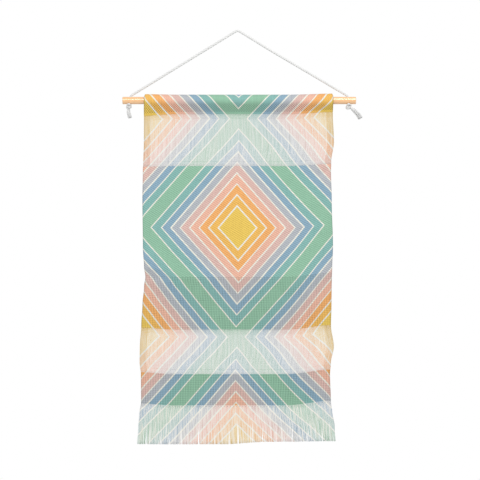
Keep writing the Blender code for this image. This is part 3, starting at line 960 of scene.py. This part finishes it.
def add_frayed_end(fray, material, rng):
    """The cord's cut end, opened into its yarns."""
    points = smooth_route(fray.tail)
    along = distances(points)
    start = along[-1] - fray.length
    bundle = Bundle(FRAY_YARNS, FRAY_SIDES, FRAY_RINGS)
    turns = rng.uniform(0, tau, FRAY_YARNS)
    reach = np.sqrt(rng.uniform(FRAY_INNERMOST, 1, FRAY_YARNS))
    lengths = fray.length * rng.uniform(*FRAY_LENGTHS, FRAY_YARNS)
    curl = rng.uniform(-1, 1, FRAY_YARNS)
    number, share = bundle.number, bundle.share
    at = start + share * lengths[number]
    core = read_along(points, along, np.minimum(at, along[-1]))
    heading = unit(points[-1:] - points[-FRAY_AIM])[0]
    core = core + heading * np.maximum(at - along[-1], 0)[:, None]
    aside, behind = np.cross(heading, (0, 1, 0)), np.array((0, 1, 0))
    angle = turns[number] + FRAY_CURL * curl[number] * share
    width = reach[number] * (fray.start + (fray.spread - fray.start) * np.sin(pi / 2 * share))
    offset = aside * (np.cos(angle) * width)[:, None] + behind * (np.sin(angle) * width)[:, None]
    name = f"frayed_end_{fray.side}"
    bundle.lay(name, core + offset, FRAY_RADIUS * (1 - FRAY_TAPER * share), aside, behind)
    bundle.stretch_marks(fray.length)
    return bundle.finish(name, [material])


def add_cords():
    cotton = cotton_finish("cotton_cord", GROOVE_PAINTED_SHADE)
    combed = cotton_finish("combed_cotton", 0.0)
    rng = np.random.default_rng(FRAY_SEED)
    cord, length, points = add_hanging_cord(cotton)
    knots = [add_knot(knot, cotton) for knot in KNOTS]
    ends = [add_frayed_end(fray, combed, rng) for fray in FRAYS]
    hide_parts("cord", "tail_left", "tail_right")
    for knot, piece in zip(KNOTS, knots):
        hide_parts(f"knot_{knot.side}")
    path = [tuple(point) for point in points[::PATH_STEP]] + [tuple(points[-1])]


# Rod
def add_rod():
    bm = bmesh.new()
    bmesh.ops.create_cone(
        bm, cap_ends=True, segments=ROD_SIDES, radius1=ROD_RADIUS, radius2=ROD_RADIUS, depth=ROD_LENGTH
    )
    rims = [edge for edge in bm.edges if any(len(face.verts) == ROD_SIDES for face in edge.link_faces)]
    bmesh.ops.bevel(bm, geom=rims, offset=ROD_EASE, segments=4, profile=0.5, affect="EDGES", material=-1)
    bmesh.ops.rotate(bm, verts=bm.verts[:], matrix=Euler((0, pi / 2, 0)).to_matrix())
    bmesh.ops.translate(bm, verts=bm.verts[:], vec=(ROD_MIDDLE_X, 0, ROD_AXIS_Z))
    drills = [add_drill(side) for side in (-1, 1)]
    cuts = [{"operation": "DIFFERENCE", "object": drill} for drill in drills]
    drilled = applied(made_mesh("wooden_rod", bm), "BOOLEAN", *cuts)
    for drill in drills:
        bpy.data.objects.remove(drill, do_unlink=True)
    rod = finish_piece("wooden_rod", drilled, [wood_finish()], turn_out=False)
    rod.data.set_sharp_from_angle(angle=radians(ROD_SHARP))
    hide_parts("rod")


def add_drill(side):
    bm = bmesh.new()
    bmesh.ops.create_cone(
        bm, cap_ends=True, segments=HOLE_SIDES, radius1=HOLE_RADIUS, radius2=HOLE_RADIUS, depth=DRILL_DEPTH
    )
    bmesh.ops.translate(bm, verts=bm.verts[:], vec=(side * HOLE_X + ROD_MIDDLE_X, 0, ROD_AXIS_Z))
    return add_object("drill", made_mesh("drill", bm))


# Woven cloth
def section_rows():
    """The sheet's rows from the raw edge behind the seam, up over the rod and down the front.

    A row is (depth y, height z, inward y, inward z, hem depth, bulge of the hem, loose): the print's side of
    the sheet, the way to its other side, and whether the row starts a stretch without weft.
    """
    drop = ROD_AXIS_Z - SEAM_Z
    start = np.arccos(SLEEVE_RADIUS / drop)
    touch_y, touch_z = SLEEVE_RADIUS * sin(start), ROD_AXIS_Z - SLEEVE_RADIUS * cos(start)
    rows = []
    for i in range(LEG_ROWS):
        share = i / LEG_ROWS
        y = -FRONT_Y + (touch_y + FRONT_Y) * share
        z = SEAM_Z + (touch_z - SEAM_Z) * share
        depth = HEM_BULGE + (SLEEVE_HEM_DEPTH - HEM_BULGE) * share
        rows.append((y, z, -sin(start), cos(start), depth, HEM_BULGE * (1 - share) ** 2, False))
    for angle in np.linspace(start, tau - start, ARC_ROWS):
        y, z = SLEEVE_RADIUS * sin(angle), ROD_AXIS_Z - SLEEVE_RADIUS * cos(angle)
        rows.append((y, z, -sin(angle), cos(angle), SLEEVE_HEM_DEPTH, 0.0, False))
    for i in range(1, LEG_ROWS + 1):
        share = 1 - i / LEG_ROWS
        y = FRONT_Y + (-touch_y - FRONT_Y) * share
        z = SEAM_Z + (touch_z - SEAM_Z) * share
        lean = smoothstep(share * 2)
        depth = HEM_DEPTH + (SLEEVE_HEM_DEPTH - HEM_DEPTH) * share
        inward = unit(np.array([[(1 - lean) + lean * sin(start), lean * cos(start)]]))[0]
        rows.append((y, z, inward[0], inward[1], depth, 0.0, False))
    top = SEAM_Z
    for band in BANDS:
        count = max(1, round((top - band.end_z) / ROW_PITCH))
        heights = np.linspace(top, band.end_z, count + 1)
        if band.loose:
            rows[-1] = (*rows[-1][:-1], True)
            heights = heights[[0, -1]]
        rows += [(FRONT_Y, z, 1.0, 0.0, HEM_DEPTH, 0.0, False) for z in heights[1:]]
        top = band.end_z
    return rows


def column_places():
    """Places across the flat sheet: the turned hem, the round fold, the front, and the same at the right."""
    hem = list(np.linspace(-HEM_WIDTH, -FOLD_WIDTH, HEM_COLUMNS))
    hem += list(np.linspace(-FOLD_WIDTH, 0.0, FOLD_COLUMNS))[1:]
    front = np.linspace(0.0, PRINT_WIDTH, round(PRINT_WIDTH / COLUMN_PITCH) + 1)
    mirrored = [PRINT_WIDTH - place for place in hem[::-1]]
    return np.array([*hem, *front[1:-1], *mirrored])


def fold_hem(places, depth):
    """Where a place across lies with the hem turned: how far from the edge and how far behind the front."""
    radius = depth / 2
    out = np.where(places < PRINT_WIDTH / 2, places, PRINT_WIDTH - places)
    turn = np.clip(-out / (pi * radius), 0.0, 1.0)
    past = np.maximum(-out - pi * radius, 0.0)
    from_edge = np.where(out > 0, np.maximum(out, 0), radius - radius * np.sin(pi * turn))
    behind = np.where(out > 0, 0.0, radius - radius * np.cos(pi * turn))
    return from_edge + past, behind, out


def lay_cloth(rows, places):
    """Points of the sheet, a row at a time."""
    points = []
    for y, z, inward_y, inward_z, depth, bulge, _ in rows:
        from_edge, behind, out = fold_hem(places, depth)
        level = np.full_like(places, z)
        left, right = edge_at(level, "left"), edge_at(level, "right")
        width = right - left
        scale = width / PRINT_WIDTH
        inside = np.where(places < PRINT_WIDTH / 2, from_edge, PRINT_WIDTH - from_edge)
        x = left + inside * scale
        across = inside / PRINT_WIDTH
        in_hem = 1 - smoothstep((out - HEM_WIDTH) / BULGE_REACH)
        depth_y = y + behind * inward_y + bulge * in_hem
        height = z + behind * inward_z + climb(x, level)
        if z < SEAM_Z:
            depth_y = depth_y + fold_depth(across, level)
        points.append(np.stack([x + ROD_MIDDLE_X, depth_y, height], axis=1))
    return np.array(points)


def down_marks(rows):
    """How far down the cloth from the seam each row lies, measured along the sheet."""
    line = np.array([(0.0, row[0], row[1]) for row in rows])
    along = distances(line)
    seam = LEG_ROWS + ARC_ROWS + LEG_ROWS - 1
    marks = along - along[seam]
    marks[seam:] = SEAM_Z - line[seam:, 2]
    return marks


def add_woven_cloth():
    rows, places = section_rows(), column_places()
    points = lay_cloth(rows, places)
    marks = down_marks(rows)
    bm = bmesh.new()
    layer = bm.loops.layers.uv.new("UVMap")
    bmesh.ops.create_grid(bm, x_segments=len(places) - 1, y_segments=len(rows) - 1, size=0.5)
    spots = {}
    for vert in bm.verts:
        column = round((vert.co.x + 0.5) * (len(places) - 1))
        row = round((0.5 - vert.co.y) * (len(rows) - 1))
        spots[vert] = row, column
    loose = [i for i, row in enumerate(rows) if row[-1]]
    open_faces = [face for face in bm.faces if min(spots[vert][0] for vert in face.verts) in loose]
    bmesh.ops.delete(bm, geom=open_faces, context="FACES")
    for face in bm.faces:
        for corner in face.loops:
            row, column = spots[corner.vert]
            corner[layer].uv = (places[column] - PRINT_WIDTH / 2, marks[row])
    for vert in bm.verts:
        row, column = spots[vert]
        vert.co = points[row][column]
    mesh = made_mesh("woven_cloth", bm)
    for finish in (woven_finish("woven_front"), woven_finish("woven_reverse", reverse=True)):
        mesh.materials.append(finish)
    wall = {"thickness": CLOTH_THICK, "offset": -1.0, "material_offset": 1, "material_offset_rim": 1}
    cloth = finish_piece("woven_cloth", applied(mesh, "SOLIDIFY", wall), [], turn_out=False)
    cloth.data.set_sharp_from_angle(angle=radians(CLOTH_SHARP))
    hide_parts("cloth")
    return cloth, marks[-1] - marks[0]


# Loose threads, picks and stitches
def wandering(across, z, seed):
    """A smooth random push for threads that bunch together."""
    spots = zip(across * PRINT_WIDTH / BUNCH_WIDTH, z / BUNCH_HEIGHT)
    return np.array([noise.noise(Vector((a, b, seed))) for a, b in spots])


def add_loose_warp(material):
    sheer = []
    top = SEAM_Z
    for band in BANDS:
        if band.loose:
            sheer.append((top, band.end_z))
        top = band.end_z
    field = round(PRINT_WIDTH / WARP_PITCH)
    hem = round(HEM_WIDTH / HEM_WARP_PITCH)
    shares = [(i + 0.5) / field for i in range(field)]
    hem_shares = [(i + HEM_WARP_START) / hem * HEM_WIDTH / PRINT_WIDTH for i in range(hem)]
    hem_shares += [1 - share for share in hem_shares]
    threads = [(share, WARP_Y) for share in shares] + [(share, HEM_WARP_Y) for share in hem_shares]
    for name, (upper, lower) in zip(("loose_warp_upper", "loose_warp_lower"), sheer):
        bundle = Bundle(len(threads), WARP_SIDES, WARP_RINGS)
        rest = np.array([share for share, _ in threads])[bundle.number]
        depth = np.array([y for _, y in threads])[bundle.number]
        z = upper + WARP_OVERLAP - bundle.share * (upper - lower + 2 * WARP_OVERLAP)
        free = np.sin(pi * bundle.share) ** WARP_FREE_POWER
        push = free * BUNCH * wandering(rest, z, upper * BUNCH_SEED)
        sway = free * SWAY * wandering(rest + SWAY_SHIFT, z, upper * SWAY_SEED)
        inward = np.clip(np.minimum(rest, 1 - rest) * PRINT_WIDTH / EDGE_CALM, EDGE_LEAST, 1)
        across = rest + push * inward / PRINT_WIDTH
        centres = on_panel(across, z, depth + sway)
        bundle.lay(name, centres, WARP_RADIUS, (1, 0, 0), (0, -1, 0))
        bundle.mark((rest - 0.5) * PRINT_WIDTH, SEAM_Z - z)
        piece = bundle.finish(name, [material])
        yield piece


def add_picks(material):
    """Single weft threads, woven over and under the loose warp."""
    heights = []
    top = SEAM_Z
    for band in BANDS:
        if band.loose:
            heights += [top - place for place in HEAD_PICKS]
            heights += [band.end_z + place for place in FOOT_PICKS]
        top = band.end_z
    heights += [LAST_ROWS_Z - place for place in LAST_ROW_PICKS]
    crossings = round(PRINT_WIDTH / WARP_PITCH)
    bundle = Bundle(len(heights), PICK_SIDES, crossings)
    z = np.array(heights)[bundle.number]
    ring = np.round(bundle.share * (crossings - 1))
    over = np.where((ring + bundle.number) % 2 < 1, -1.0, 1.0)
    centres = on_panel(bundle.share, z, WARP_Y + over * PICK_WEAVE)
    bundle.lay("weft_picks", centres, PICK_RADIUS, (0, 0, 1), (0, 1, 0))
    bundle.mark((bundle.share - 0.5) * PRINT_WIDTH, SEAM_Z - z)
    piece = bundle.finish("weft_picks", [material])
    return piece


def part_strands(x, fall, parting, rng):
    """Parts the strands into locks: gaps that open towards the tips, each lock leaning its own way."""
    edge = EDGES[-1].left
    while edge < EDGES[-1].right:
        lock = rng.uniform(*parting.spacing)
        reach = rng.uniform(*parting.reach)
        gap = rng.uniform(*parting.gap)
        lean = rng.uniform(-1, 1) * parting.lean
        edge += lock
        opened = smoothstep((fall - 1 + reach) / reach)
        off = x - edge
        x = x + opened * (np.sign(off) * gap / 2 * np.exp(-abs(off) / parting.draw))
        x = x + opened * lean * (1 - smoothstep(abs(off + lock / 2) / lock))
    return x


def add_fringe(material):
    """Warp ends below the last rows, gathered into locks."""
    rng = np.random.default_rng(FRINGE_SEED)
    count = round(PRINT_WIDTH / FRINGE_PITCH)
    bundle = Bundle(count, FRINGE_SIDES, FRINGE_RINGS)
    number, share = bundle.number, bundle.share
    rest = (np.arange(count) + 0.5)[number] / count
    start = LAST_ROWS_Z + WARP_OVERLAP
    length = start - CLOTH_END_Z + FRINGE_LENGTH
    root = 1 - FRINGE_LENGTH / length
    lengths = length - FRINGE_UNEVEN * rng.uniform(0, 1, count) ** 2
    z = start - share * lengths[number]
    fall = np.maximum(0.0, (share - root) / (1 - root))
    left, right = edge_at(z, "left"), edge_at(z, "right")
    x = left + rest * (right - left)
    for parting in PARTINGS:
        x = part_strands(x, fall, parting, rng)
    x = x + FRINGE_WAVER * fall * wandering(rest, z, WAVER_SEED)
    x = x + FRINGE_STRAY * fall * rng.uniform(-1, 1, count)[number]
    hanging = smoothstep(fall / FRINGE_FREE_BY)
    end_row = np.full_like(z, CLOTH_END_Z)
    depth = fold_depth(rest, end_row) * hanging + fold_depth(rest, z) * (1 - hanging)
    layer = rng.uniform(-FRINGE_DEPTH, FRINGE_DEPTH, count)[number] * hanging
    waver = FRINGE_WAVER * fall * wandering(rest + WAVER_DEPTH_SHIFT, z, WAVER_DEPTH_SEED)
    cut = CUT_RISE * smoothstep((x - CUT_RISE_FROM) / (CUT_RISE_TO - CUT_RISE_FROM))
    lift = climb(x, end_row) * (1 - TIP_SETTLE * fall) + cut * fall
    centres = np.stack([x + ROD_MIDDLE_X, WARP_Y + depth + layer + waver, z + lift], axis=1)
    bundle.lay("fringe_yarns", centres, FRINGE_RADIUS, (1, 0, 0), (0, -1, 0))
    bundle.mark((rest - 0.5) * PRINT_WIDTH, SEAM_Z - z)
    piece = bundle.finish("fringe_yarns", [material])
    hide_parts("fringe")
    return piece


def add_stitches(material):
    """The sleeve's seam and the hems' lines of stitching."""
    seam = np.arange(*SEAM_SPAN, STITCH_PITCH / PRINT_WIDTH)
    places = [(share, SEAM_Z + SEAM_RISE, 0.0) for share in seam]
    hem = HEM_LINE / PRINT_WIDTH
    for top, end in ((BANDS[0].end_z, BANDS[2].end_z), (BANDS[3].end_z, BANDS[4].end_z)):
        for z in np.arange(top - HEM_LINE_GAP, end + HEM_LINE_GAP, -STITCH_PITCH):
            places += [(hem, z, 1.0), (1 - hem, z, 1.0)]
    bundle = Bundle(len(places), STITCH_SIDES, STITCH_RINGS)
    table = np.array(places)[bundle.number]
    upright = table[:, 2]
    run = (bundle.share - 0.5) * STITCH_PITCH * STITCH_SHOWN
    across = table[:, 0] + (1 - upright) * run / PRINT_WIDTH
    z = table[:, 1] - upright * run
    sink = FRONT_Y - STITCH_PROUD + STITCH_DIP * abs(2 * bundle.share - 1) ** 2
    centres = on_panel(across, z, sink)
    first = np.where(upright[:, None] > 0.5, (1.0, 0.0, 0.0), (0.0, 0.0, 1.0))
    bundle.lay("stitches", centres, STITCH_RADIUS, first, (0, -1, 0))
    bundle.mark((across - 0.5) * PRINT_WIDTH, SEAM_Z - z)
    piece = bundle.finish("stitches", [material])
    return piece


def add_textiles():
    cloth, length = add_woven_cloth()
    warp_yarn = yarn_finish(LOOSE_YARN)
    fringe_yarn = yarn_finish(FRINGE_YARN)
    others = [
        *add_loose_warp(warp_yarn),
        add_picks(warp_yarn),
        add_fringe(fringe_yarn),
        add_stitches(warp_yarn),
    ]


# Surroundings
def add_light(lamp):
    panel = bpy.data.lights.new(lamp.name, "AREA")
    panel.shape = "RECTANGLE"
    panel.size = lamp.width
    panel.size_y = lamp.height
    panel.energy = lamp.watts
    light = add_object(lamp.name, panel)
    light.location = lamp.place
    light.rotation_euler = (Vector(LAMPS_AIM) - Vector(lamp.place)).to_track_quat("-Z", "Y").to_euler()


def add_surroundings():
    scene = bpy.context.scene
    scene.view_settings.view_transform = "Standard"
    world = bpy.data.worlds.new("studio")
    scene.world = world
    world.use_nodes = True
    nodes, links = world.node_tree.nodes, world.node_tree.links
    light_path = nodes.new("ShaderNodeLightPath")
    strength = nodes.new("ShaderNodeMapRange")
    strength.inputs["To Min"].default_value = ROOM_LIGHT
    strength.inputs["To Max"].default_value = 1.0
    links.new(light_path.outputs["Is Camera Ray"], strength.inputs["Value"])
    nodes["Background"].inputs["Color"].default_value = (1, 1, 1, 1)
    links.new(strength.outputs["Result"], nodes["Background"].inputs["Strength"])
    for lamp in LAMPS:
        add_light(lamp)
    bm = bmesh.new()
    bmesh.ops.create_grid(bm, x_segments=1, y_segments=1, size=FLOOR_SIZE)
    bmesh.ops.translate(bm, verts=bm.verts[:], vec=(0, 0, FLOOR_Z))
    floor = add_object("floor", made_mesh("floor", bm))
    floor.data.materials.append(floor_finish())


add_camera()
add_cords()
add_rod()
add_textiles()
add_surroundings()
